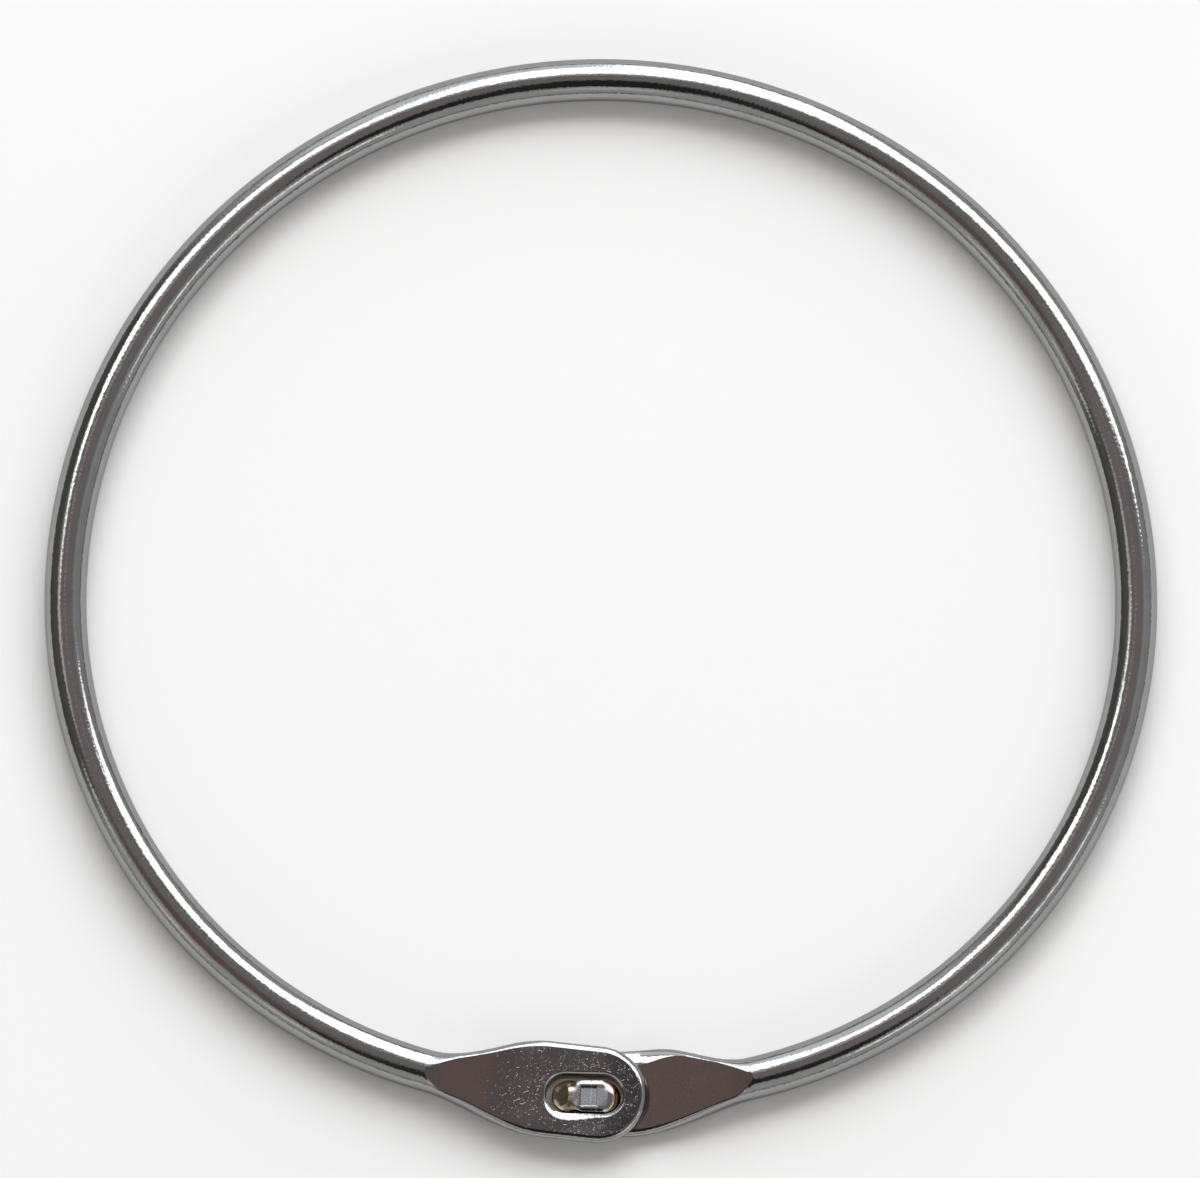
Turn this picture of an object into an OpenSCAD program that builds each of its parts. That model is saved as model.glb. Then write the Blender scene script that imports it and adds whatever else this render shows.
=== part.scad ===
// Binder ring: one length of steel wire, bent round and sprung shut. Both ends are pressed
// flat and lie on each other, and a nib on the lower end clips up through a slot in the
// upper one. The ring lies flat on Z = 0, with its bow towards +Y and its clasp towards -Y.
// The origin is below the centre of the bow's half circle.

/* [Ring] */
// Outside width of the ring across its bow
ring_w = 100; // [70:1:150]
// Diameter of the wire
wire_d = 3.8; // [3.2:0.1:5]
// How much tighter the clasp half is bent than the bow, as a difference of radius
clasp_half_draw = 3.4; // [1:0.1:6]

/* [Pressed ends] */
// Thickness of both ends where they lie on each other
end_t = 1.2; // [0.9:0.1:1.4]
// Width of the upper end, the one with the slot
slot_end_w = 8.8; // [7.5:0.1:11]
// Width of the lower end, the one with the nib
nib_end_w = 7.8; // [6.5:0.1:11]
// Length of each pressed end along the wire
end_len = 20; // [18:0.5:28]
// How far each end runs past the middle of the clasp
end_lap = 5.2; // [4.2:0.1:7]
// Length over which the wire widens to the full width of its end
flare_len = 11; // [9:0.5:12]
// The same along the inner side of the nib's end, which widens sooner
nib_flare_len = 8.5; // [7:0.5:12]
// Slope of the outer faces where they run out into the round wire, in degrees
face_slope = 6; // [5:1:12]
// Slope of the lapped faces where they run out into the round wire, in degrees
lap_slope = 11; // [9:1:16]
// Bend that is left where the curve stops and the end runs straight, in degrees
straight_bend = 5; // [2:0.5:8]
// How far the rolled outer edge of an end reaches in from its side
outer_roll = 0.45; // [0.3:0.05:0.7]
// How far the rolled inner edge of an end reaches in from its side
inner_roll = 0.6; // [0.3:0.05:0.9]
// The same on the inner edge of the nib's end, where it goes under the other end
lap_roll = 1.5; // [0.6:0.1:2]
// Gap between the two ends
lap_gap = 0.1; // [0.06:0.02:0.3]

/* [Slot and nib] */
// Length of the slot
slot_l = 6.8; // [5.5:0.1:8]
// Width of the slot
slot_w = 3.5; // [2.5:0.1:4.5]
// Flare of the slot's upper rim
slot_rim = 0.25; // [0.1:0.05:0.4]
// How far the middle of the slot lies from the middle of the clasp, away from the tip
slot_back = 0.4; // [0:0.1:1]
// How far the slot and the nib lie outside the middle of the ends' width
slot_out = 0.25; // [0:0.05:0.6]
// Gap between the nib's catching end and the slot
catch_gap = 0.1; // [0.06:0.02:0.3]
// Gap at the nib's other end
nib_play = 0.5; // [0.2:0.1:1]
// Gap along each side of the nib
nib_side_gap = 0.2; // [0.1:0.05:0.4]
// How far the nib's top stays below the upper face
nib_below = 0.1; // [0:0.05:0.4]
// Length of the nib's raised crown at its catching end
crown_l = 3.9; // [3.2:0.1:4.6]
// Rise from the nib's low nose up to its crown
crown_step = 0.4; // [0.2:0.05:0.7]
// Length of the ramp that leads from the nose up to the crown
ramp_l = 1.2; // [0.8:0.1:1.6]
// Rounding of the nib's upper edges
nib_edge = 0.45; // [0.1:0.05:0.5]
// Depth of the press mark under the nib
press_mark = 0.7; // [0.3:0.1:0.9]

/* [Hidden] */
$fn = 96;

// The path of the wire's axis, seen from above
wire_r = wire_d / 2;
bow_r = ring_w / 2 - wire_r;
side_r = bow_r - clasp_half_draw;
straight_x = clasp_half_draw + side_r * sin(straight_bend);
straight_l = (straight_x + end_lap) / cos(straight_bend);
arc_l = end_len - straight_l;
start_bend = straight_bend + degrees_on_side(arc_l);
clasp_y = -side_r * cos(straight_bend) - straight_x * tan(straight_bend);

// Levels measured from the middle of the wire
lap_low = lap_gap / 2;
lap_high = lap_low + end_t;

// The pressed ends grow out of the end faces of the round wire, one die line inside its skin
edge_steps = 12;
die_line = 0.05;
tang_l = 0.8;
tang_r = wire_r - die_line;
ridge = 0.03;
roll_fade = 3.2;
inner_break = 12;
outer_break = 20;
break_len = 1.2;
face_blend = 0.3;
lap_blend = 0.1;
flare_steps = 24;
tip_steps = 10;
tip_turn = 87;

// Slot and nib
slot_mid = [-slot_back, clasp_y - slot_out];
nib_l = slot_l - catch_gap - nib_play;
nib_w = slot_w - 2 * nib_side_gap;
nib_mid = slot_mid + [(nib_play - catch_gap) / 2, 0];
nib_h = end_t + lap_gap - nib_below;
crown_side = 0.1;
crease_at = 0.42;
crease_w = 0.5;
crease_depth = 0.12;
ramp_top = 0.35;
ramp_sink = 0.02;
root = end_t / 3;
over = 1;

function degrees_on_side(length) = length / side_r * 180 / PI;
function clamp01(x) = min(1, max(0, x));
function ease(x) = (1 - cos(180 * clamp01(x))) / 2;

// The larger of two values, blended over a width k where they cross
function smooth_max(a, b, k) = max(a, b) + pow(max(k - abs(a - b), 0), 2) / (4 * k);

// Axis of the slot's end at a length s from the start of its pressing: bend left, then place
function bend_at(s) = max(straight_bend, start_bend - degrees_on_side(s));
function axis_at(s) =
    let (bend = bend_at(s), run = max(0, s - arc_l))
    [-clasp_half_draw - side_r * sin(bend) + run * cos(straight_bend),
     -side_r * cos(bend) - run * sin(straight_bend)];

// Section of a pressed end at a length s: half width to one side, faces, roll and edge
function half_w(s, w, flare) = tang_r + (w / 2 - tang_r) * ease(s / flare);
function pressed(s, level, fall, blend) =
    smooth_max(tang_r - max(0, s) * tan(fall), level, blend);
function roll_at(s, roll) =
    roll + (tang_r - ridge - roll) * pow(1 - clamp01(s / roll_fade), 2);
function edge_turn(s, edge_break) = 90 - edge_break * ease(s / break_len);

// Points round one section, the inner side first. halves and rolls hold a value for each
// side. forward is 0 along the sides and turns to 90 round the tip, where the roll of the
// edge faces along the wire. The outer edge meets the faces in a sharper crease.
function section(s, halves, rolls, forward) =
    let (
        bend = bend_at(s),
        along = [cos(bend), -sin(bend)],
        across = [sin(bend), cos(bend)],
        top = pressed(s, lap_high, face_slope, face_blend),
        bottom = -pressed(s, -lap_low, lap_slope, lap_blend),
        breaks = [outer_break + (inner_break - outer_break) * cos(forward), outer_break]
    )
    [for (i = [0, 1], j = [0:edge_steps])
        let (
            turn = edge_turn(s, breaks[i]),
            a = (i == 0 ? turn : -turn) * (1 - 2 * j / edge_steps),
            inset = roll_at(s, rolls[i]) * (1 - (cos(a) - cos(turn)) / (1 - cos(turn))),
            reach = halves[i] - inset * cos(forward),
            flat = axis_at(s) - along * inset * sin(forward) + across * (i == 0 ? reach : -reach),
            z = (top + bottom) / 2 + (top - bottom) / 2 * sin(a) / sin(turn)
        )
        [flat.x, flat.y, z]];

// A wire end pressed flat: sections along its sides, then round its tip. The roll of the
// inner edge grows to full_roll over the second half of the flare, and fades round the tip.
module pressed_end(w, inner_flare, full_roll) {
    tip_start = end_len - w / 2;
    tip_r = half_w(tip_start, w, flare_len);
    sides = [for (i = [0:flare_steps])
        let (
            s = -tang_l + (tip_start + tang_l) * i / flare_steps,
            roll = inner_roll + (full_roll - inner_roll) * ease(2 * s / flare_len - 1)
        )
        section(s, [half_w(s, w, inner_flare), half_w(s, w, flare_len)], [roll, outer_roll], 0)];
    tip = [for (i = [1:tip_steps])
        let (
            a = tip_turn * i / tip_steps,
            roll = outer_roll + (full_roll - outer_roll) * cos(a)
        )
        section(tip_start + tip_r * sin(a), tip_r * [cos(a), cos(a)], [roll, outer_roll], a)];
    sections = concat(sides, tip);
    n = len(sections[0]);
    last = len(sections) - 1;
    walls = [for (k = [0:last - 1], j = [0:n - 1])
        let (p = k * n + j, q = k * n + (j + 1) % n)
        each [[p, q, p + n], [q, q + n, p + n]]];
    nose = [for (j = [0:edge_steps - 1])
        let (p = last * n + j, q = last * n + n - 1 - j)
        each [[p, p + 1, q], [p + 1, q - 1, q]]];
    polyhedron(
        points = [for (ring = sections) each ring],
        faces = concat([[for (j = [0:n - 1]) n - 1 - j]], walls, nose)
    );
}

// A round-ended solid: the half profile is turned round both ends and run along between
module pill(l, w) {
    for (side = [0, 180])
        rotate(side)
            translate([(l - w) / 2, 0])
                rotate(-90)
                    rotate_extrude(angle = 180)
                        children();
    rotate([90, 0, 90])
        linear_extrude(l - w, center = true) {
            children();
            mirror([1, 0])
                children();
        }
}

// Half profile of a boss with rounded upper edges
module boss_profile(w, h) {
    translate([0, -root])
        square([w / 2, root + h - nib_edge]);
    square([w / 2 - nib_edge, h]);
    translate([w / 2 - nib_edge, h - nib_edge])
        intersection() {
            circle(nib_edge);
            square(nib_edge);
        }
}

// The slot, flared at its upper rim
module slot_cut() {
    mouth = slot_w / 2 + slot_rim;
    translate([slot_mid.x, slot_mid.y, lap_low])
        pill(slot_l, slot_w)
            polygon([
                [0, -over], [slot_w / 2, -over], [slot_w / 2, end_t - slot_rim],
                [mouth, end_t], [mouth, end_t + over], [0, end_t + over]
            ]);
}

// The nib: a low nose, a ramp, and a crown with a crease across it at the catching end
module nib() {
    nose_h = nib_h - crown_step;
    crown_w = nib_w - 2 * crown_side;
    crown_mid = (nib_l - crown_l) / 2 - crown_side;
    ramp_end = crown_mid - crown_l / 2 + ramp_top;
    translate([nib_mid.x, nib_mid.y, -lap_low])
        difference() {
            union() {
                pill(nib_l, nib_w)
                    boss_profile(nib_w, nose_h);
                translate([crown_mid, 0])
                    pill(crown_l, crown_w)
                        boss_profile(crown_w, nib_h);
                rotate([90, 0, 0])
                    linear_extrude(crown_w - 2 * nib_edge, center = true)
                        polygon([
                            [ramp_end - ramp_l, nose_h - root], [ramp_end, nose_h - root],
                            [ramp_end, nib_h - ramp_sink], [ramp_end - ramp_l, nose_h - ramp_sink]
                        ]);
            }
            translate([crown_mid - crown_l / 2 + crown_l * crease_at, 0, nib_h])
                rotate([90, 0, 0])
                    linear_extrude(nib_w + 2 * over, center = true)
                        polygon([
                            [-crease_w / 2, crease_depth], [0, -crease_depth],
                            [crease_w / 2, crease_depth]
                        ]);
        }
}

// The hollow that the punch leaves under the nib
module nib_hollow() {
    wall = end_t - press_mark;
    translate([nib_mid.x, nib_mid.y, -lap_high - over])
        pill(nib_l - 2 * wall, nib_w - 2 * wall)
            square([nib_w / 2 - wall, press_mark + over]);
}

// The round wire: the bow, then the tighter bend down to each pressed end
module drawn_wire() {
    rotate_extrude(angle = 180)
        translate([bow_r, 0])
            circle(wire_r);
    for (side = [0, 1])
        mirror([side, 0])
            translate([-clasp_half_draw, 0])
                rotate(180)
                    rotate_extrude(angle = 90 - start_bend)
                        translate([side_r, 0])
                            circle(wire_r);
}

module ring() {
    color([0.74, 0.74, 0.75])
        translate([0, 0, wire_r]) {
            drawn_wire();
            difference() {
                pressed_end(slot_end_w, flare_len, inner_roll);
                slot_cut();
            }
            difference() {
                union() {
                    rotate([0, 180, 0])
                        pressed_end(nib_end_w, nib_flare_len, lap_roll);
                    nib();
                }
                nib_hollow();
            }
        }
}

ring();
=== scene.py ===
from math import cos, pi, radians, sin, sqrt, tan

import bmesh
import bpy
from mathutils import Matrix, Vector


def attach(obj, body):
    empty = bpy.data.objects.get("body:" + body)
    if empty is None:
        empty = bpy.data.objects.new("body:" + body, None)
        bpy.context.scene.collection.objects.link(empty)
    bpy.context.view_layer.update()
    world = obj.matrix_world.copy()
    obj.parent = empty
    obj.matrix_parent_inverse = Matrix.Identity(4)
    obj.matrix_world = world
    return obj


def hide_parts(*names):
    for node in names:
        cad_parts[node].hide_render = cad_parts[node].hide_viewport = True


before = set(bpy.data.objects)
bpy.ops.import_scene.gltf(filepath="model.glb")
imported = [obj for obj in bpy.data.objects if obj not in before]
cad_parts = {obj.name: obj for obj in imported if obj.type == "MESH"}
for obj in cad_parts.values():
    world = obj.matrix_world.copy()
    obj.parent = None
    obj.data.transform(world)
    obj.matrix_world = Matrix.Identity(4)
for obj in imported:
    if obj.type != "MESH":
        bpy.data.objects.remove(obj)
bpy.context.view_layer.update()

# The wire: one length of drawn steel wire, bent to a half circle for the bow and a little
# tighter towards the clasp, then bright nickel plated. It is a round section swept along
# the bent axis, up to where the pressing of each end starts.
mm = 0.001
ring_w = 100 * mm
wire_r = 1.9 * mm
bow_r = ring_w / 2 - wire_r
clasp_half_draw = 3.4 * mm
side_r = bow_r - clasp_half_draw
end_len = 20 * mm
end_lap = 5.2 * mm
straight_bend = radians(5)
straight_x = clasp_half_draw + side_r * sin(straight_bend)
arc_l = end_len - (straight_x + end_lap) / cos(straight_bend)
start_bend = straight_bend + arc_l / side_r
wire_sides = 64
wire_steps = 320
nickel = (0.33, 0.33, 0.333, 1)
grazing_tint = (0.7, 0.7, 0.7, 1)
noise_low, noise_high = 0.3, 0.7
die_line_scale = (300, 9000, 9000)
die_line_depth = 0.0018 * mm
pit_scale = 3600
pit_depth = 0.012 * mm
cloud_scale = 420
cloud_shares = 0.93, 0.92, 0.9
wire_roughness = 0.04, 0.09


def add(tree, kind, inputs=None, **settings):
    """A node with its settings, and with each input linked or set."""
    made = tree.nodes.new(kind)
    for name, value in settings.items():
        setattr(made, name, value)
    for key, value in (inputs or {}).items():
        if isinstance(value, bpy.types.NodeSocket):
            tree.links.new(value, made.inputs[key])
        else:
            made.inputs[key].default_value = value
    return made


def calc(tree, operation, *values):
    """The result of a Math node."""
    return add(tree, "ShaderNodeMath", dict(enumerate(values)), operation=operation).outputs[0]


def ranged(tree, value, start, end, low=0.0, high=1.0, easing="LINEAR"):
    """A value taken from one range to another, and held at the ends."""
    return add(
        tree, "ShaderNodeMapRange",
        {"Value": value, "From Min": start, "From Max": end, "To Min": low, "To Max": high},
        interpolation_type=easing,
    ).outputs[0]


def mapped(tree, vector, **settings):
    """A place that is moved or stretched."""
    inputs = {"Vector": vector, **{name.title(): value for name, value in settings.items()}}
    return add(tree, "ShaderNodeMapping", inputs).outputs[0]


def noise(tree, vector, scale, detail, roughness=0.5):
    return add(
        tree, "ShaderNodeTexNoise",
        {"Vector": vector, "Scale": scale, "Detail": detail, "Roughness": roughness},
    ).outputs["Fac"]


def raised(tree, height, depth, under=None, invert=False):
    """The normal of a relief of some depth, laid over another one if that is given."""
    inputs = {"Height": height, "Strength": 1, "Distance": depth}
    if under is not None:
        inputs["Normal"] = under
    return add(tree, "ShaderNodeBump", inputs, invert=invert).outputs[0]


def toned(colour, shares):
    return (*(c * share for c, share in zip(colour, shares)), 1)


def two_tone(tree, fac, low, high):
    """A colour that follows a noise."""
    ramp = add(tree, "ShaderNodeValToRGB", {"Fac": fac})
    first, last = ramp.color_ramp.elements
    first.position, first.color = noise_low, low
    last.position, last.color = noise_high, high
    return ramp.outputs["Color"]


def plating(name):
    """A bare metal finish: its material, its node tree and its shader's inputs."""
    finish = bpy.data.materials.new(name)
    finish.use_nodes = True
    sockets = finish.node_tree.nodes["Principled BSDF"].inputs
    sockets["Metallic"].default_value = 1
    sockets["Specular Tint"].default_value = grazing_tint
    return finish, finish.node_tree, sockets


drawn_nickel, shade, plate = plating("drawn_nickel")
straight = add(shade, "ShaderNodeAttribute", attribute_name="straight").outputs["Vector"]
die_lines = noise(shade, mapped(shade, straight, scale=die_line_scale), 1, 3, 0.6)
pitting = noise(shade, straight, pit_scale, 2)
clouding = noise(shade, straight, cloud_scale, 3)
bumped = raised(shade, pitting, pit_depth, raised(shade, die_lines, die_line_depth))
dull = ranged(shade, clouding, noise_low, noise_high, *wire_roughness)
tone = two_tone(shade, clouding, toned(nickel, cloud_shares), nickel)
shade.links.new(bumped, plate["Normal"])
shade.links.new(dull, plate["Roughness"])
shade.links.new(tone, plate["Base Color"])

bent_wire = bpy.data.node_groups.new("bent_wire", "GeometryNodeTree")
bent_wire.interface.new_socket("Geometry", in_out="OUTPUT", socket_type="NodeSocketGeometry")
wire_sizes = {
    "Wire radius": ("NodeSocketFloat", wire_r),
    "Bow radius": ("NodeSocketFloat", bow_r),
    "Clasp half draw": ("NodeSocketFloat", clasp_half_draw),
    "First turn": ("NodeSocketFloat", start_bend - pi / 2),
    "Steps": ("NodeSocketInt", wire_steps),
    "Sides": ("NodeSocketInt", wire_sides),
    "Plate": ("NodeSocketMaterial", drawn_nickel),
}
wire_sockets = {
    name: bent_wire.interface.new_socket(name, in_out="INPUT", socket_type=kind)
    for name, (kind, value) in wire_sizes.items()
}
given = bent_wire.nodes.new("NodeGroupInput").outputs
place = add(bent_wire, "GeometryNodeSplineParameter")
last_turn = calc(bent_wire, "SUBTRACT", pi, given["First turn"])
turn = ranged(bent_wire, place.outputs["Factor"], 0, 1, given["First turn"], last_turn)
ahead = calc(bent_wire, "COSINE", turn)
up = calc(bent_wire, "SINE", turn)
in_clasp_half = calc(bent_wire, "LESS_THAN", up, 0.0)
drawn_in = calc(bent_wire, "MULTIPLY", in_clasp_half, given["Clasp half draw"])
bend = calc(bent_wire, "SUBTRACT", given["Bow radius"], drawn_in)
middle = calc(bent_wire, "MULTIPLY", calc(bent_wire, "SIGN", ahead), drawn_in)
axis_point = add(
    bent_wire, "ShaderNodeCombineXYZ",
    {
        "X": calc(bent_wire, "MULTIPLY_ADD", bend, ahead, middle),
        "Y": calc(bent_wire, "MULTIPLY", bend, up),
        "Z": given["Wire radius"],
    },
).outputs[0]
axis = add(bent_wire, "GeometryNodeCurvePrimitiveLine").outputs[0]
axis = add(
    bent_wire, "GeometryNodeResampleCurve", {"Curve": axis, "Count": given["Steps"]}
).outputs[0]
axis = add(
    bent_wire, "GeometryNodeSetPosition", {"Geometry": axis, "Position": axis_point}
).outputs[0]
axis = add(bent_wire, "GeometryNodeSetCurveNormal", {"Curve": axis}, mode="Z_UP").outputs[0]
along = bent_wire.nodes.new("GeometryNodeCaptureAttribute")
along.capture_items.new("FLOAT", "Along")
bent_wire.links.new(axis, along.inputs["Geometry"])
bent_wire.links.new(place.outputs["Length"], along.inputs["Along"])
half_side = add(
    bent_wire, "ShaderNodeCombineXYZ", {"Z": calc(bent_wire, "DIVIDE", pi, given["Sides"])}
).outputs[0]
outline = add(
    bent_wire, "GeometryNodeCurvePrimitiveCircle",
    {"Resolution": given["Sides"], "Radius": given["Wire radius"]},
).outputs["Curve"]
outline = add(
    bent_wire, "GeometryNodeTransform", {"Geometry": outline, "Rotation": half_side}
).outputs[0]
around = bent_wire.nodes.new("GeometryNodeCaptureAttribute")
around.capture_items.new("VECTOR", "Around")
bent_wire.links.new(outline, around.inputs["Geometry"])
outline_point = add(bent_wire, "GeometryNodeInputPosition").outputs[0]
bent_wire.links.new(outline_point, around.inputs["Around"])
swept = add(
    bent_wire, "GeometryNodeCurveToMesh",
    {"Curve": along.outputs["Geometry"], "Profile Curve": around.outputs["Geometry"]},
).outputs[0]
across = add(bent_wire, "ShaderNodeSeparateXYZ", {"Vector": around.outputs["Around"]}).outputs
straight_point = add(
    bent_wire, "ShaderNodeCombineXYZ",
    {"X": along.outputs["Along"], "Y": across["X"], "Z": across["Y"]},
).outputs[0]
swept = add(
    bent_wire, "GeometryNodeStoreNamedAttribute",
    {"Geometry": swept, "Name": "straight", "Value": straight_point},
    data_type="FLOAT_VECTOR", domain="POINT",
).outputs[0]
swept = add(bent_wire, "GeometryNodeRealizeInstances", {"Geometry": swept}).outputs[0]
swept = add(
    bent_wire, "GeometryNodeSetMaterial", {"Geometry": swept, "Material": given["Plate"]}
).outputs[0]
add(bent_wire, "NodeGroupOutput", {"Geometry": swept})

wire = bpy.data.objects.new("wire", bpy.data.meshes.new("wire"))
bpy.context.scene.collection.objects.link(wire)
sweep = wire.modifiers.new("bent_wire", "NODES")
sweep.node_group = bent_wire
for name, (kind, value) in wire_sizes.items():
    sweep[wire_sockets[name].identifier] = value


def plain_mesh(obj):
    """The object's evaluated mesh, on its own."""
    depsgraph = bpy.context.evaluated_depsgraph_get()
    return bpy.data.meshes.new_from_object(obj.evaluated_get(depsgraph), depsgraph=depsgraph)


wire_mesh = plain_mesh(wire)
bpy.data.objects.remove(wire)

# The pressed ends: both ends of the wire, flattened cold between dies to a third of its height
# and spread to paddles with rolled edges. The left one lies over the right one, with a hair's
# gap, and its face is scuffed round the slot from being snapped shut.
end_t = 1.2 * mm
lap_gap = 0.1 * mm
slot_end_w = 8.8 * mm
nib_end_w = 7.8 * mm
flare_len = 11 * mm
nib_flare_len = 8.5 * mm
face_slope = radians(6)
lap_slope = radians(11)
face_blend = 0.3 * mm
lap_blend = 0.1 * mm
outer_roll = 0.45 * mm
inner_roll = 0.6 * mm
lap_roll = 1.5 * mm
inner_fade = 3.2 * mm
outer_fade = 2.4 * mm
inner_break = radians(12)
outer_break = radians(20)
break_len = 1.2 * mm
face_rim = 0.35 * mm
bevel_w = 0.09 * mm
bevel_drop = 0.035 * mm
bevel_start = 0.6 * mm
crown_len = 1 * mm
lean_len = 5 * mm
tip_turn = radians(89.3)
side_count, tip_count = 72, 24
edge_stretch = 0.65
lap_low = lap_gap / 2
lap_high = lap_low + end_t
side_step = 2 * pi / wire_sides
slot_end_lean = 2 * side_step
nib_end_lean = -side_step
first_turn = pi / 2 - 1.5 * side_step
edge_points = wire_sides // 2 - 2
clasp = 0, -side_r * cos(straight_bend) - straight_x * tan(straight_bend)
# Painted reflection and shade on the pressed ends: brown like the room they mirror, grey round the
# slot, and darkest at the upper end's tip.
painted_brown_reflection = (0.25, 0.208, 0.2, 1)
painted_grey_reflection = (0.198, 0.178, 0.187, 1)
painted_tip_shade = (0.117, 0.112, 0.12, 1)
slot_gold = (1, 0.82, 0.62, 1)
scuff_pale = (0.46, 0.46, 0.46, 1)
pressed_roughness = 0.08, 0.34
grain_scale = 6500
grain_depth = 0.006 * mm
grain_tone = 0.89, 1.11
wave_scale = 260
wave_depth = 0.09 * mm
scuff_depth = 0.005 * mm
scuff_w = 0.006 * mm, 0.038 * mm
scuff_curl = 450.0
scuff_range = 3 * mm, 7.5 * mm
scuff_most = 0.85
hair = 0.01 * mm
rim_depth = 0.3 * mm


def clamp01(x):
    return min(1, max(0, x))


def ease(x):
    return (1 - cos(pi * clamp01(x))) / 2


def bend_at(s):
    """The bend that is left at a length s from the start of the pressing."""
    return max(straight_bend, start_bend - s / side_r)


def axis_at(s):
    run = max(0, s - arc_l)
    left = bend_at(s)
    return Vector((
        -clasp_half_draw - side_r * sin(left) + run * cos(straight_bend),
        -side_r * cos(left) - run * sin(straight_bend),
        wire_r,
    ))


def half_width(s, width, flare):
    return wire_r + (width / 2 - wire_r) * ease(s / flare)


def pressed(s, level, fall, blend):
    """Height of a pressed face: the slope off the round wire, eased into the flat."""
    slope = wire_r * sin(first_turn) - max(0, s) * tan(fall)
    return max(slope, level) + max(blend - abs(slope - level), 0) ** 2 / (4 * blend)


def end_section(s, halves, rolls, breaks, forward, lean):
    """Points round a pressed end: inner edge, lower face, outer edge, upper face."""
    left = bend_at(s)
    onward = Vector((cos(left), -sin(left), 0))
    inward = Vector((sin(left), cos(left), 0))
    top = pressed(s, lap_high, face_slope, face_blend)
    bottom = -pressed(s, -lap_low, lap_slope, lap_blend)
    lean *= 1 - ease(s / lean_len)
    crown = wire_r * (cos(side_step / 2) - sin(first_turn)) * (1 - clamp01(s / crown_len)) ** 2
    edges, faces = [], []
    for side, half, roll, edge_break, fade_len in zip(
        (1, -1), halves, rolls, breaks, (inner_fade, outer_fade)
    ):
        last_turn = first_turn - (first_turn - pi / 2 + edge_break) * ease(s / break_len)
        fade = (1 - clamp01(s / fade_len)) ** 2
        roll += (wire_r * (1 - cos(first_turn)) - roll) * fade
        bevelled = 1 - cos(forward) if side > 0 else 1
        drop = bevel_drop * bevelled * ease(s / bevel_start)
        edge = []
        for i in range(edge_points):
            a = last_turn * (1 - 2 * i / (edge_points - 1))
            inset = roll * (1 - (cos(a) - cos(last_turn)) / (1 - cos(last_turn)))
            z = (top + bottom) / 2 + ((top - bottom) / 2 - drop) * sin(a) / sin(last_turn)
            edge.append((inset * sin(forward), side * (half - inset * cos(forward)), z))
        edges.append(edge)
        inset = roll + face_rim + (bevel_w - face_rim) * bevelled
        reach = half - inset * cos(forward)
        if s < crown_len:
            reach = max(reach if s > 0 else 0, wire_r * sin(side_step / 2))
        back = roll * sin(forward)
        faces.append([(back, side * reach, z) for z in (bottom - crown, top + crown)])
    (inner_low, inner_high), (outer_low, outer_high) = faces
    round_section = edges[0] + [inner_low, outer_low] + edges[1][::-1] + [outer_high, inner_high]
    return [
        axis_at(s) - onward * back + inward * (across * cos(lean) - z * sin(lean))
        + Vector((0, 0, across * sin(lean) + z * cos(lean)))
        for back, across, z in round_section
    ]


def pressed_end(width, inner_flare, full_roll, lean):
    """Sections of a pressed end by their length, along its sides and then round its tip."""
    tip_start = end_len - width / 2
    tip_r = half_width(tip_start, width, flare_len)
    sections = {}
    for i in range(side_count + 1):
        s = tip_start * i / side_count
        rolls = inner_roll + (full_roll - inner_roll) * ease(2 * s / flare_len - 1), outer_roll
        halves = half_width(s, width, inner_flare), half_width(s, width, flare_len)
        sections[s] = end_section(s, halves, rolls, (inner_break, outer_break), 0, lean)
    for i in range(1, tip_count + 1):
        a = tip_turn * i / tip_count
        rolls = outer_roll + (full_roll - outer_roll) * cos(a), outer_roll
        breaks = outer_break + (inner_break - outer_break) * cos(a), outer_break
        s = tip_start + tip_r * sin(a)
        sections[s] = end_section(s, [tip_r * cos(a)] * 2, rolls, breaks, a, lean)
    return sections


work = bmesh.new()
work.from_mesh(wire_mesh)
straight_layer = work.verts.layers.float_vector["straight"]
wire_rim = [v for v in work.verts if v.is_boundary]
flats = {*range(edge_points - 1, edge_points + 2), *range(wire_sides - 3, wire_sides)}
tip_rungs = [(wire_sides - 1, wire_sides - 2)]
tip_rungs += [(j, wire_sides - 3 - j) for j in range(edge_points)]
tip_rungs.append((edge_points, edge_points + 1))
for width, flare, roll, lean, turned in (
    (slot_end_w, flare_len, inner_roll, slot_end_lean, False),
    (nib_end_w, nib_flare_len, lap_roll, nib_end_lean, True),
):
    rings = []
    for s, section in pressed_end(width, flare, roll, lean).items():
        if turned:
            section = [Vector((-p.x, p.y, 2 * wire_r - p.z)) for p in section]
        if not rings:
            joined = [min(wire_rim, key=lambda v: (v.co - p).length) for p in section]
        rings.append([work.verts.new(p) for p in section])
        narrowed = 1 - edge_stretch * ease(s / flare)
        for v, start in zip(rings[-1], joined):
            x, y, z = start[straight_layer]
            v[straight_layer] = x - s if turned else x + s, narrowed * y, narrowed * z
    for ring, following in zip(rings, rings[1:]):
        for j in range(wire_sides):
            k = (j + 1) % wire_sides
            strip = work.faces.new((ring[j], ring[k], following[k], following[j]))
            strip.material_index = int(j in flats)
    for (j, k), (m, n) in zip(tip_rungs, tip_rungs[1:]):
        work.faces.new([rings[-1][i] for i in (j, m, n, k)])
    bmesh.ops.weld_verts(work, targetmap=dict(zip(rings[0], joined)))
bmesh.ops.recalc_face_normals(work, faces=work.faces)
ring_mesh = bpy.data.meshes.new("plated_ring")
work.to_mesh(ring_mesh)
work.free()
plated_ring = bpy.data.objects.new("plated_ring", ring_mesh)
bpy.context.scene.collection.objects.link(plated_ring)


def mixed(tree, share, first, second, blend="MIX"):
    """Two colours mixed by a share."""
    return add(
        tree, "ShaderNodeMix", {0: share, 6: first, 7: second}, data_type="RGBA", blend_type=blend
    ).outputs[2]


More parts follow.
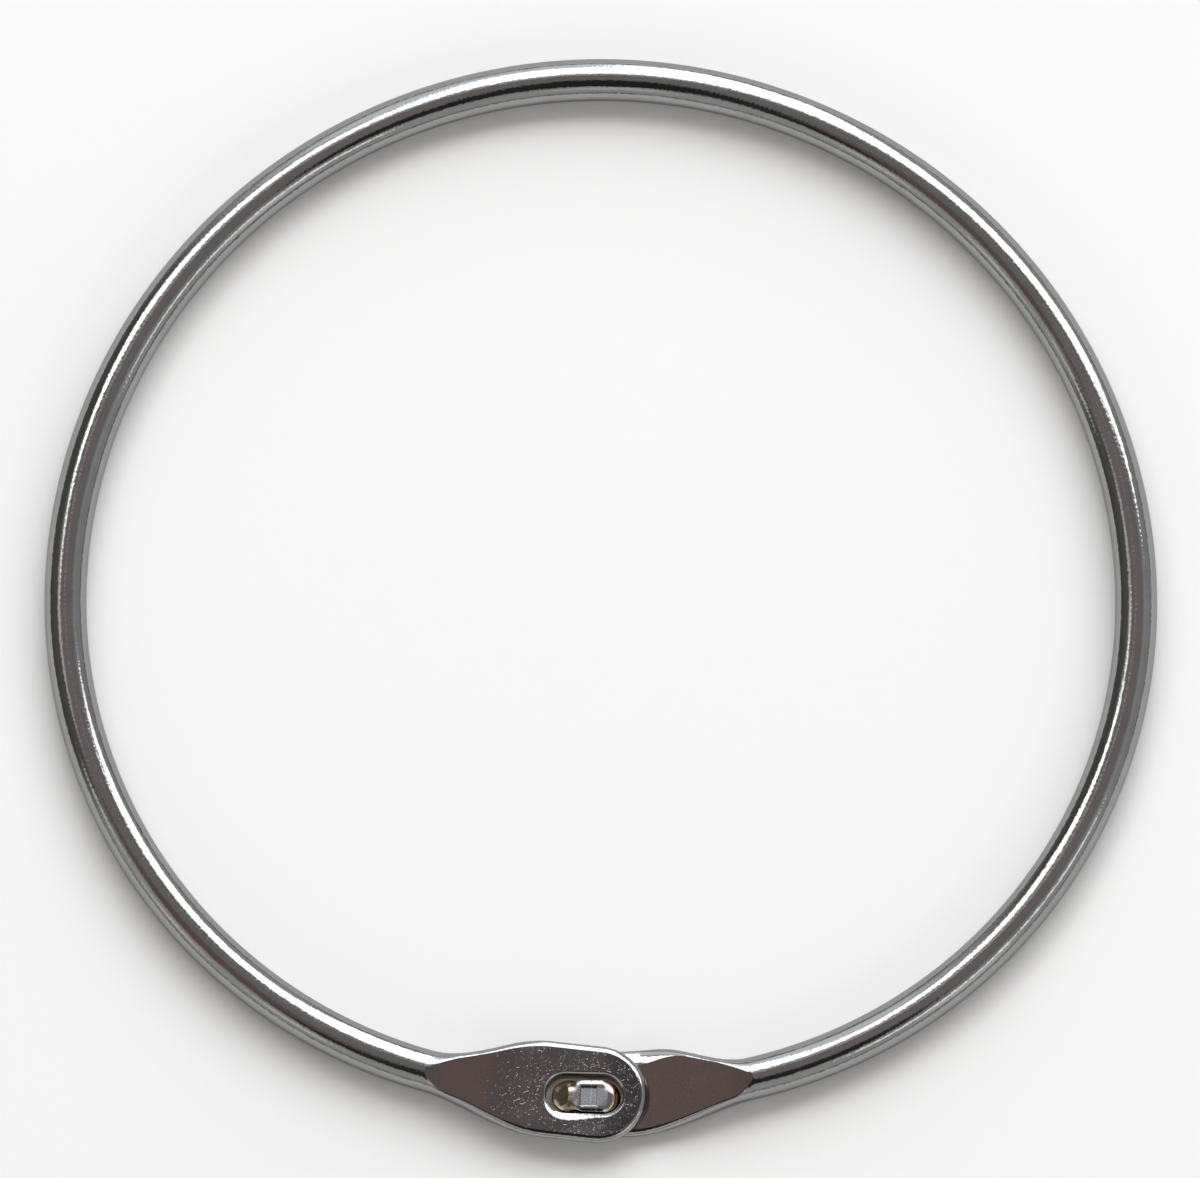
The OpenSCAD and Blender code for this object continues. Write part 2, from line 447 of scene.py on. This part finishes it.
pressed_nickel_and_reflection, shade, plate = plating("pressed_nickel_and_reflection")
where = add(shade, "ShaderNodeTexCoord").outputs["Object"]
from_clasp = mapped(shade, where, location=(-clasp[0], -clasp[1], 0))
spread = add(shade, "ShaderNodeSeparateXYZ", {"Vector": from_clasp}).outputs
reach = add(
    shade, "ShaderNodeVectorMath", {0: mapped(shade, from_clasp, scale=(0.75, 1, 0))},
    operation="LENGTH",
).outputs["Value"]
face_z = wire_r + lap_high
on_face = calc(shade, "GREATER_THAN", spread["Z"], face_z - hair)
wear = calc(shade, "MULTIPLY", ranged(shade, reach, *scuff_range, scuff_most, 0.0), on_face)
scuffs = None
for seed, cell, share in (
    (5, 0.15 * mm, 0.2),
    (3, 0.3 * mm, 0.4),
    (17, 0.5 * mm, 0.75),
    (31, 0.85 * mm, 0.85),
):
    spot = mapped(shade, where, location=(seed * mm, seed * 2 * mm, 0))
    cells = add(
        shade, "ShaderNodeTexVoronoi", {"Vector": spot, "Scale": 1 / cell},
        voronoi_dimensions="2D",
    ).outputs
    chance = add(shade, "ShaderNodeSeparateColor", {"Color": cells["Color"]}).outputs
    offset = add(
        shade, "ShaderNodeVectorMath", {0: spot, 1: cells["Position"]}, operation="SUBTRACT"
    ).outputs[0]
    turned = add(
        shade, "ShaderNodeVectorRotate",
        {"Vector": offset, "Angle": calc(shade, "MULTIPLY", chance["Red"], 2 * pi)},
        rotation_type="Z_AXIS",
    ).outputs[0]
    line = add(shade, "ShaderNodeSeparateXYZ", {"Vector": turned}).outputs
    half_l = calc(shade, "MULTIPLY", chance["Green"], cell * 0.45)
    past_end = calc(shade, "SUBTRACT", calc(shade, "ABSOLUTE", line["X"]), half_l)
    past_end = calc(shade, "MAXIMUM", past_end, 0.0)
    curl = calc(shade, "MULTIPLY", calc(shade, "POWER", line["X"], 2.0), scuff_curl)
    beside = calc(shade, "POWER", calc(shade, "ADD", line["Y"], curl), 2.0)
    off_line = calc(shade, "SQRT", calc(shade, "ADD", calc(shade, "POWER", past_end, 2.0), beside))
    is_there = calc(shade, "LESS_THAN", chance["Blue"], calc(shade, "MULTIPLY", wear, share))
    scuff = calc(shade, "MULTIPLY", ranged(shade, off_line, *scuff_w, 1.0, 0.0), is_there)
    depth = calc(shade, "FRACT", calc(shade, "MULTIPLY", chance["Red"], 37.0))
    scuff = calc(shade, "MULTIPLY", scuff, calc(shade, "MULTIPLY_ADD", depth, 0.8, 0.2))
    scuffs = scuff if scuffs is None else calc(shade, "MAXIMUM", scuffs, scuff)
grain = noise(shade, where, grain_scale, 3, 0.6)
waves = noise(shade, where, wave_scale, 1)
bumped = raised(shade, grain, grain_depth, raised(shade, waves, wave_depth))
bumped = raised(shade, scuffs, scuff_depth, bumped, invert=True)
# Painted reflection and shade: the upper end's face runs from brown through grey round the slot to
# dark at its tip, and the rest of the pressed ends is painted brown.
on_upper_end = calc(
    shade, "MULTIPLY",
    calc(shade, "LESS_THAN", spread["X"], end_lap + 0.2 * mm),
    calc(shade, "GREATER_THAN", spread["Z"], face_z - rim_depth),
)
tone_from, tone_to = -10 * mm, 4 * mm
tone = add(
    shade, "ShaderNodeValToRGB", {"Fac": ranged(shade, spread["X"], tone_from, tone_to)}
)
tone.color_ramp.interpolation = "EASE"
tone.color_ramp.elements[0].color = painted_brown_reflection
tone.color_ramp.elements[1].color = painted_tip_shade
for x, colour in ((-7.5 * mm, painted_grey_reflection), (0.5 * mm, painted_grey_reflection), (3 * mm, painted_tip_shade)):
    tone.color_ramp.elements.new((x - tone_from) / (tone_to - tone_from)).color = colour
coloured = mixed(shade, on_upper_end, painted_brown_reflection, tone.outputs["Color"])
grained = ranged(shade, grain, noise_low, noise_high, *grain_tone)
coloured = add(
    shade, "ShaderNodeVectorMath", {0: coloured, "Scale": grained}, operation="SCALE"
).outputs[0]
drawn_rim = calc(
    shade, "MULTIPLY",
    calc(shade, "LESS_THAN", reach, 3.4 * mm),
    calc(shade, "LESS_THAN", spread["Z"], face_z - hair),
)
coloured = mixed(shade, drawn_rim, coloured, nickel)
in_slot = calc(
    shade, "MULTIPLY",
    calc(shade, "LESS_THAN", reach, 2.7 * mm),
    calc(shade, "LESS_THAN", spread["Z"], face_z - rim_depth),
)
coloured = mixed(shade, in_slot, coloured, slot_gold, "MULTIPLY")
coloured = mixed(shade, scuffs, coloured, scuff_pale)
shade.links.new(bumped, plate["Normal"])
shade.links.new(ranged(shade, scuffs, 0, 1, *pressed_roughness), plate["Roughness"])
shade.links.new(coloured, plate["Base Color"])
ring_mesh.materials.append(drawn_nickel)
ring_mesh.materials.append(pressed_nickel_and_reflection)

# The slot: punched through the upper end from above, so that the metal is drawn down round
# its rim, most of all along the outer side, where the nib slides in.
slot_l = 6.8 * mm
slot_w = 3.5 * mm
rim_steps = 12
double_dist = 0.0001 * mm


def pill_rays(length, width, arc_steps=24, side_steps=40):
    """Rays round an obround: the foot of each on the middle line, and its way outward."""
    half = (length - width) / 2
    rays = []
    for side in (1, -1):
        for i in range(arc_steps):
            a = pi * (i / arc_steps - 0.5)
            rays.append((Vector((side * half, 0, 0)), Vector((side * cos(a), side * sin(a), 0))))
        for i in range(side_steps):
            x = side * half * (1 - 2 * i / side_steps)
            rays.append((Vector((x, 0, 0)), Vector((0, side, 0))))
    return rays


def pill_solid(name, rays, levels, at, capped=True):
    """A closed solid of rings round the rays. Each level gives a reach and a height for a ray."""
    work = bmesh.new()
    rings = []
    for level in levels:
        ring = []
        for foot, outward in rays:
            reach, z = level(foot, outward)
            ring.append(work.verts.new(at + foot + outward * reach + Vector((0, 0, z))))
        rings.append(ring)
    for ring, following in zip(rings, rings[1:]):
        for j in range(len(ring)):
            k = (j + 1) % len(ring)
            work.faces.new((ring[j], ring[k], following[k], following[j]))
    work.faces.new(rings[0][::-1])
    if capped:
        work.faces.new(rings[-1])
    bmesh.ops.remove_doubles(work, verts=work.verts, dist=double_dist)
    bmesh.ops.dissolve_degenerate(work, edges=work.edges, dist=double_dist)
    bmesh.ops.recalc_face_normals(work, faces=work.faces)
    mesh = bpy.data.meshes.new(name)
    work.to_mesh(mesh)
    work.free()
    made = bpy.data.objects.new(name, mesh)
    bpy.context.scene.collection.objects.link(made)
    return made


def rim(foot, outward, t):
    """The drawn rim from its lip, t = 0, to the face: a dip that is widest on the outer side."""
    outer, inner, x = max(0, -outward.y), max(0, outward.y), foot.x / mm
    ragged = 0.03 * sin(9 * x + 1) + 0.02 * sin(23 * x)
    widened = 0.02 + ragged + 0.35 * ease((2 - x) / 3.4)
    lip = 1.75 + 0.25 * inner - 0.1 * outer
    face = 1.95 + 0.1 * max(0, outward.x) + 0.23 * inner + widened * outer
    dip = 0.22 - 0.1 * inner
    fall = 0.45 * (1 - t) + 0.55 * (1 - t) ** 2
    return (lip + (face - lip) * t) * mm, lap_high - dip * fall * mm


slot_mid = Vector((clasp[0] - 0.4 * mm, clasp[1] - 0.25 * mm, wire_r))
slot_levels = [lambda foot, outward: (rim(foot, outward, 0)[0], 0)]
slot_levels += [
    lambda foot, outward, t=i / rim_steps: rim(foot, outward, t) for i in range(rim_steps + 1)
]
slot_levels.append(lambda foot, outward: (rim(foot, outward, 1)[0], lap_high + mm))
slot_punch = pill_solid("slot_punch", pill_rays(slot_l, slot_w), slot_levels, slot_mid)

# The nib: pressed up out of the lower end from below, a low rounded nose and a coined crown
# with a dished top that snaps in behind the end of the slot. The punch leaves a hollow.
nib_l = 6.2 * mm
nib_w = 3.1 * mm
nib_root = 0.4 * mm
nib_mid = slot_mid + Vector((0.2 * mm, 0, -lap_low))
wall_w, wall_steps, top_steps = 0.16, 8, 36
hollow_w = 2.1 * mm
crown_scale = (5000, 16000, 5000)
crown_depth = 0.004 * mm
crown_roughness = 0.2, 0.33
# Painted sheen on the coined crown: its colour is lighter and bluish, standing in for the window's
# light that its rough face scatters.
crown_sheen_dark_shares = 1.05, 1.12, 1.2
crown_sheen_light_shares = 1.3, 1.33, 1.38
slot_zone = 4.2 * mm, 2.4 * mm
merge_dist = 0.0002 * mm
crease = radians(9)
plating_crease = radians(4)


def nib_height(u, v, d, endward):
    """Height of the nib's skin in mm, at a place along and across it and d in from its side."""
    nose, tail = ease((-0.8 - u) / 0.9), ease((u - 1.3) / 0.7)
    crest = 1.2 - max(0, -0.55 - u) * tan(radians(13)) - 0.05 * ease((u + 0.6) / 0.12)
    band = 0.02 * (ease((u - 0.38) / 0.12) - ease((u - 0.85) / 0.12))
    wall = sqrt(1 - (1 - clamp01(d / 0.14)) ** 2)
    crown = 0.86 * wall + 0.14 * (1 - (1 - clamp01((d - 0.06) / 0.5)) ** 2)
    dome = 0.55 * wall + 0.45 * (1 - (1 - clamp01((d - 0.04) / 1.2)) ** 2)
    side = crown + (dome - crown) * max(nose, 0.5 * tail)
    cone = 0.3 * wall + 0.7 * clamp01((d - 0.05) / 1.5)
    shoulder = 0.35 * wall + 0.65 * (1 - (1 - clamp01((d - 0.02) / 1.1)) ** 2.4)
    end = cone if u < 0 else shoulder
    floor = 0.1 * ease((0.95 - v) / 0.28) - 0.1 * ease((-v - 0.9) / 0.12)
    floor -= 0.015 * clamp01(0.5 - v)
    dish = floor * (1 - nose) * (1 - ease((u - 0.85) / 0.2)) * ease((u + 0.6) / 0.12)
    return (crest + band) * (side + (end - side) * endward) - dish


def nib_level(inset):
    """The ring of the nib's skin at an inset in mm, pinched in at its waist."""
    def level(foot, outward):
        pinch = max(0, 1 - abs(foot.x / mm + 1.0) / 0.8) ** 1.3
        pinch *= 0.1 * max(0, outward.y) + 0.2 * max(0, -outward.y)
        reach = (nib_w / 2 - inset * mm) * (1 - pinch / 1.55)
        u, v = (foot.x + outward.x * reach) / mm, outward.y * reach / mm
        return reach, nib_height(u, v, inset, outward.x ** 2) * mm
    return level


half_nib = nib_w / mm / 2
nib_insets = [wall_w * (1 - cos(pi / 2 * i / wall_steps)) for i in range(wall_steps + 1)]
nib_insets += [wall_w + (half_nib - wall_w) * i / top_steps for i in range(1, top_steps + 1)]
nib_levels = [lambda foot, outward: (nib_w / 2, -nib_root)]
nib_levels += [nib_level(inset) for inset in nib_insets]
nib_rays = pill_rays(nib_l, nib_w, side_steps=120)
nib = pill_solid("nib", nib_rays, nib_levels, nib_mid, capped=False)
hollow_levels = [
    lambda foot, outward: (1.05 * mm, -end_t - mm),
    lambda foot, outward: (1.05 * mm, -end_t + 0.5 * mm),
    lambda foot, outward: (0.95 * mm, -end_t + 0.65 * mm),
    lambda foot, outward: (0.75 * mm, -end_t + 0.7 * mm),
]
hollow_punch = pill_solid("hollow_punch", pill_rays(nib_l - mm, hollow_w), hollow_levels, nib_mid)

for tool, operation in ((slot_punch, "DIFFERENCE"), (nib, "UNION"), (hollow_punch, "DIFFERENCE")):
    cut = plated_ring.modifiers.new(tool.name, "BOOLEAN")
    cut.object = tool
    cut.operation = operation
    cut.solver = "EXACT"
plated_ring.data = plain_mesh(plated_ring)
plated_ring.modifiers.clear()
for tool in (slot_punch, nib, hollow_punch):
    bpy.data.objects.remove(tool)

# The coined crown: die marks in its relief, roughness and colour, and a painted sheen that makes
# it lighter and bluer than the plating.
coined_nickel_and_sheen, shade, plate = plating("coined_nickel_and_sheen")
where = add(shade, "ShaderNodeTexCoord").outputs["Object"]
die_marks = noise(shade, mapped(shade, where, scale=crown_scale), 1, 3, 0.6)
tone = two_tone(
    shade, die_marks, toned(nickel, crown_sheen_dark_shares), toned(nickel, crown_sheen_light_shares)
)
shade.links.new(raised(shade, die_marks, crown_depth), plate["Normal"])
shade.links.new(ranged(shade, die_marks, 0, 1, *crown_roughness), plate["Roughness"])
shade.links.new(tone, plate["Base Color"])

plated_ring.data.materials.append(coined_nickel_and_sheen)
work = bmesh.new()
work.from_mesh(plated_ring.data)
bmesh.ops.remove_doubles(work, verts=work.verts, dist=merge_dist)
bmesh.ops.dissolve_degenerate(work, edges=work.edges, dist=double_dist)
for f in work.faces:
    c = f.calc_center_median()
    if abs(c.x - slot_mid.x) < slot_zone[0] and abs(c.y - slot_mid.y) < slot_zone[1]:
        f.material_index = 1
    u, v, up = (c - nib_mid) / mm
    if -0.56 < u < 1.9 and -0.9 < v < 0.72 and 0.7 < up < 1.19 and f.normal.z > 0.8:
        f.material_index = 2
    f.smooth = True
for e in work.edges:
    two_platings = len({f.material_index for f in e.link_faces}) > 1
    e.smooth = e.calc_face_angle(0) < (plating_crease if two_platings else crease)
work.to_mesh(plated_ring.data)
work.free()
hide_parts("ring")
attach(plated_ring, "root")

# The table that the ring lies on: a wide board with a plain, pale and matt face. It takes the
# ring's soft shadow, and the ring's flanks mirror it.
table_half = 3
table_pale = (0.92, 0.92, 0.92, 1)
table_roughness = 0.9
table_gloss = 0.1
table = bpy.data.objects.new("table", bpy.data.meshes.new("table"))
table.data.from_pydata(
    [(x * table_half, y * table_half, 0) for x, y in ((-1, -1), (1, -1), (1, 1), (-1, 1))],
    [], [(0, 1, 2, 3)],
)
bpy.context.scene.collection.objects.link(table)
table_white = bpy.data.materials.new("table_white")
table_white.use_nodes = True
face = table_white.node_tree.nodes["Principled BSDF"].inputs
face["Base Color"].default_value = table_pale
face["Roughness"].default_value = table_roughness
face["Specular IOR Level"].default_value = table_gloss
table.data.materials.append(table_white)

# The light: a wide window behind the bow, in four panes of one plane, a low strip lamp to the
# right of the clasp, and a dim room with paler and darker walls. Directions are given by their
# azimuth, clockwise from behind the bow, and their angle from straight above.
lamp_distance = 2.4
window_at = 0, 33
window_radiance = 3.25
strip_at = 125, 57
strip_radiance = 1.45
room_strength = 0.63, 1.27
skirting_height = 0.03, 0.12


def direction(azimuth, zenith):
    a, z = radians(azimuth), radians(zenith)
    return Vector((sin(a) * sin(z), cos(a) * sin(z), cos(z)))


def soft_lamp(name, at, place, size, radiance):
    """An area lamp on a far plane, with its place and size as shares of the distance."""
    lamp = bpy.data.lights.new(name, "AREA")
    lamp.shape = "RECTANGLE"
    lamp.size, lamp.size_y = size[0] * lamp_distance, size[1] * lamp_distance
    lamp.energy = radiance * pi * lamp.size * lamp.size_y
    a, z = radians(at[0]), radians(at[1])
    towards = direction(*at)
    rightwards = Vector((cos(a), -sin(a), 0))
    downwards = Vector((sin(a) * cos(z), cos(a) * cos(z), -sin(z)))
    obj = bpy.data.objects.new(name, lamp)
    obj.matrix_world = Matrix.Translation(
        (towards + rightwards * place[0] + downwards * place[1]) * lamp_distance
    ) @ Matrix((rightwards, -downwards, towards)).transposed().to_4x4()
    bpy.context.scene.collection.objects.link(obj)


for name, place, size in (
    ("window_middle", (0.15, 0.2), (0.74, 0.71)),
    ("window_foot", (0.23, 0.8), (0.46, 0.49)),
    ("window_right", (0.81, 0.18), (0.58, 0.5)),
    ("window_left", (-0.47, -0.01), (0.5, 0.36)),
):
    soft_lamp(name, window_at, place, size, window_radiance)
soft_lamp("strip_lamp", strip_at, (0, 0), (0.72, 0.13), strip_radiance)

room = bpy.data.worlds.new("room")
bpy.context.scene.world = room
room.use_nodes = True
sky = room.node_tree
away = add(sky, "ShaderNodeTexCoord").outputs["Generated"]
height = add(sky, "ShaderNodeSeparateXYZ", {"Vector": away}).outputs["Z"]
walls = add(sky, "ShaderNodeValToRGB", {"Fac": height})
walls.color_ramp.elements[0].color = (0.4, 0.4, 0.385, 1)
walls.color_ramp.elements[1].color = (0.265, 0.25, 0.24, 1)
for up, colour in (
    (0.26, (0.5, 0.5, 0.485, 1)),
    (0.42, (0.5, 0.5, 0.485, 1)),
    (0.57, (0.48, 0.485, 0.49, 1)),
    (0.71, (0.38, 0.385, 0.39, 1)),
    (0.82, (0.24, 0.245, 0.25, 1)),
    (0.91, (0.24, 0.24, 0.24, 1)),
):
    walls.color_ramp.elements.new(up).color = colour
seen = walls.outputs["Color"]
for azimuth, zenith, inner, outer, colour in (
    (78, 76, 16, 30, (0.38, 0.38, 0.38)),
    (300, 68, 12, 26, (0.11, 0.107, 0.1)),
    (275, 76, 12, 24, (0.11, 0.107, 0.1)),
    (275, 54, 11, 18, (0.14, 0.135, 0.125)),
    (352, 64, 10, 26, (1.05, 1.13, 1.18)),
    (4, 77, 5, 12, (1.25, 1.32, 1.42)),
    (20, 80, 6, 14, (0.5, 0.53, 0.58)),
    (255, 62, 3, 7, (0.85, 0.85, 0.8)),
    (238, 69, 3, 8, (0.9, 0.9, 0.84)),
    (218, 64, 3, 8, (0.85, 0.85, 0.8)),
    (130, 69, 4, 10, (0.85, 0.85, 0.78)),
    (180, 61, 5, 10, (0.7, 0.7, 0.68)),
    (238, 33, 9, 19, (0.2, 0.14, 0.125)),
    (348, 20, 4, 8, (0.6, 0.6, 0.6)),
    (70, 15, 11, 16, (0.285, 0.238, 0.228)),
    (290, 24, 8, 12, (0.29, 0.24, 0.23)),
    (284, 37, 4, 8, (0.75, 0.75, 0.72)),
    (302, 35, 3, 7, (2.0, 2.0, 1.95)),
    (180, 33, 13, 18, (0.03, 0.03, 0.03)),
    (152, 34, 9, 15, (0.035, 0.034, 0.033)),
    (208, 41, 7, 12, (0.045, 0.044, 0.043)),
    (180, 20, 4, 10, (0.035, 0.033, 0.034)),
):
    facing = add(
        sky, "ShaderNodeVectorMath", {0: away, 1: direction(azimuth, zenith)},
        operation="DOT_PRODUCT",
    ).outputs["Value"]
    edge, full = cos(radians(outer)), cos(radians(inner))
    share = ranged(sky, facing, edge, full, easing="SMOOTHSTEP")
    seen = mixed(sky, share, seen, (*colour, 1))
skirting = ranged(sky, height, *skirting_height, *room_strength, easing="SMOOTHSTEP")
sky.links.new(seen, sky.nodes["Background"].inputs["Color"])
sky.links.new(skirting, sky.nodes["Background"].inputs["Strength"])

# The camera: far off with a long lens, tilted a little from straight above towards the clasp,
# so that the ring's circle looks slightly flattened. The ring fills most of its frame.
view_tilt, view_turn = radians(12), radians(1.4)
frame_w = 107.81 * mm
distance = 3.0
sensor_w = 36
back = Matrix.Rotation(view_turn, 3, "Z") @ Vector((0, -sin(view_tilt), cos(view_tilt)))
upward = Matrix.Rotation(view_turn, 3, "Z") @ Vector((0, cos(view_tilt), sin(view_tilt)))
rightward = upward.cross(back)
aim = Vector((0, 0, wire_r)) + upward * 1.168 * mm - rightward * 0.076 * mm
camera = bpy.data.objects.new("camera", bpy.data.cameras.new("camera"))
camera.data.sensor_width = sensor_w
camera.data.lens = sensor_w * distance / frame_w
camera.data.clip_end = 20
camera.matrix_world = Matrix((
    (rightward.x, upward.x, back.x, aim.x + back.x * distance),
    (rightward.y, upward.y, back.y, aim.y + back.y * distance),
    (rightward.z, upward.z, back.z, aim.z + back.z * distance),
    (0, 0, 0, 1),
))
bpy.context.scene.collection.objects.link(camera)
bpy.context.scene.camera = camera
bpy.context.scene.view_settings.view_transform = "Standard"
